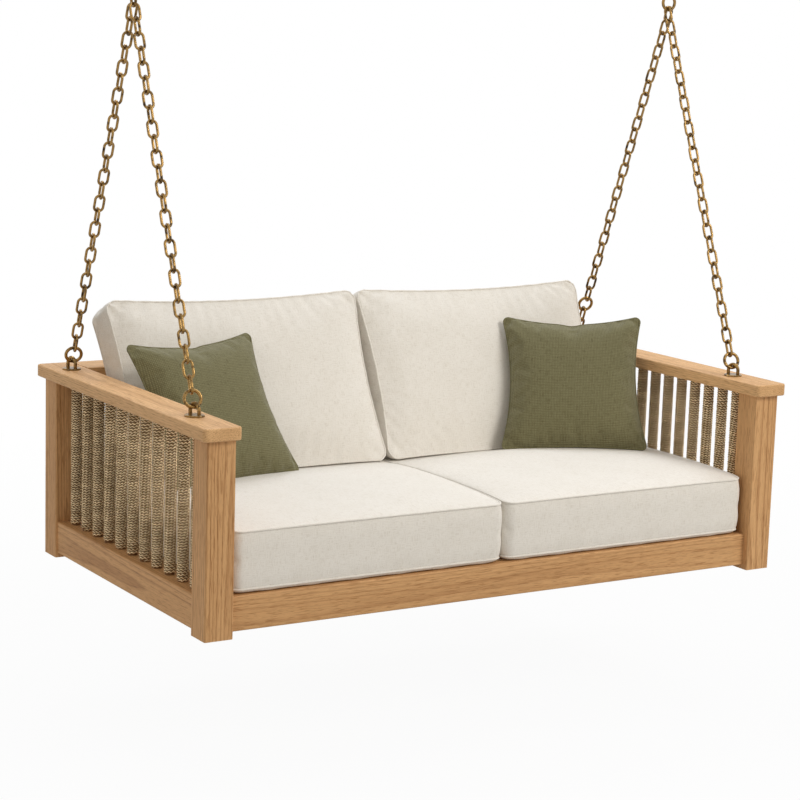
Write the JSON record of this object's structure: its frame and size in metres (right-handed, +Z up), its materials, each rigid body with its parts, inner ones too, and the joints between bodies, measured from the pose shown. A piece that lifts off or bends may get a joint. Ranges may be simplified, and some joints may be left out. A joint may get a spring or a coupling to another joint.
{
  "type": "hanging swing bed",
  "caption": "Timber daybed with cord-wound spindle sides and loose cushions, slung level from the ceiling on two pairs of chain legs.",
  "frame": {"origin": "midway between the two ceiling plates, on the ceiling face they bolt to", "axes": "+X to the right seen from the front, +Y towards the back of the bed, +Z up"},
  "size_m": [2.066, 1.196, 1.9773],
  "materials": {
    "frame_wood": "oiled oak, planed and eased",
    "deck_wood": "plain planed slats and cleats",
    "spindle_wood": "turned, hidden under the cord",
    "wound_cord": "fine taupe cord wound tightly round each spindle",
    "antique_brass": "antique brass, satin",
    "screw_brass": "plain brass screws",
    "linen": "cream linen weave with self piping",
    "sage_linen": "sage green coarse linen"
  },
  "bodies": {
    "ceiling": {"ceiling_plate_left": "antique_brass", "ceiling_plate_right": "antique_brass"},
    "hangers": {"hanger_link_left": "antique_brass", "hanger_link_right": "antique_brass"},
    "chains_left": {"top_chain_left": "antique_brass", "apex_ring_left": "antique_brass", "chain_front_left": "antique_brass", "chain_back_left": "antique_brass", "ring_front_left": "antique_brass", "ring_back_left": "antique_brass"},
    "bed": {"post_front_left": "frame_wood", "post_front_right": "frame_wood", "post_back_left": "frame_wood", "post_back_right": "frame_wood", "front_rail": "frame_wood", "back_rail": "frame_wood", "side_rail_left": "frame_wood", "side_rail_right": "frame_wood", "arm_cap_left": "frame_wood", "arm_cap_right": "frame_wood", "back_cap": "frame_wood", "cap_dowels": "frame_wood", "cleat_front": "deck_wood", "cleat_back": "deck_wood", "deck_joist": "deck_wood", "deck_slats": "deck_wood", "slat_screws": "screw_brass", "spindles_left": "spindle_wood", "spindles_right": "spindle_wood", "spindles_back": "spindle_wood", "cord_wraps_left": "wound_cord", "cord_wraps_right": "wound_cord", "cord_wraps_back": "wound_cord", "pad_eye_front_left": "antique_brass", "pad_eye_front_right": "antique_brass", "pad_eye_back_left": "antique_brass", "pad_eye_back_right": "antique_brass", "stud_washers": "antique_brass", "stud_nuts": "antique_brass"},
    "chains_right": {"top_chain_right": "antique_brass", "apex_ring_right": "antique_brass", "chain_front_right": "antique_brass", "chain_back_right": "antique_brass", "ring_front_right": "antique_brass", "ring_back_right": "antique_brass"},
    "seat_left": {"seat_cushion_left": "linen"},
    "seat_right": {"seat_cushion_right": "linen"},
    "back_left": {"back_cushion_left": "linen"},
    "back_right": {"back_cushion_right": "linen"},
    "throw_left": {"pillow_left": "sage_linen"},
    "throw_right": {"pillow_right": "sage_linen"}
  },
  "joints": [
    {"name": "swing", "type": "hinge", "parent": "ceiling", "child": "hangers", "pos_m": [0, 0, -0.0385], "axis": [1, 0, 0], "range_deg": [-18, 18]},
    {"name": "sway", "type": "hinge", "parent": "hangers", "child": "chains_left", "pos_m": [-0.9705, 0, -0.0807], "axis": [0, 1, 0], "range_deg": [-5, 5]},
    {"name": "sway_bed", "type": "hinge", "parent": "chains_left", "child": "bed", "pos_m": [-0.9705, 0, -1.33534], "axis": [0, 1, 0], "range_deg": [-5, 5]},
    {"name": "sway_right", "type": "hinge", "parent": "bed", "child": "chains_right", "pos_m": [0.9705, 0, -1.33534], "axis": [0, 1, 0], "range_deg": [-5, 5]},
    {"name": "seat_left_lift", "type": "slide", "parent": "bed", "child": "seat_left", "axis": [0, 0, 1], "range_m": [0, 0.5]},
    {"name": "seat_right_lift", "type": "slide", "parent": "bed", "child": "seat_right", "axis": [0, 0, 1], "range_m": [0, 0.5]},
    {"name": "back_left_lift", "type": "slide", "parent": "seat_left", "child": "back_left", "axis": [0, 0.4384, 0.8988], "range_m": [0, 0.32]},
    {"name": "back_right_lift", "type": "slide", "parent": "seat_right", "child": "back_right", "axis": [0, 0.4384, 0.8988], "range_m": [0, 0.32]},
    {"name": "pillow_left_lift", "type": "slide", "parent": "seat_left", "child": "throw_left", "axis": [0, -0.6, 0.8], "range_m": [0, 0.45]},
    {"name": "pillow_right_lift", "type": "slide", "parent": "seat_right", "child": "throw_right", "axis": [0, -0.6, 0.8], "range_m": [0, 0.45]}
  ],
  "couplings": [
    {"joint": "sway_bed", "follows": "sway", "ratio": -1},
    {"joint": "sway_right", "follows": "sway", "ratio": 1}
  ]
}
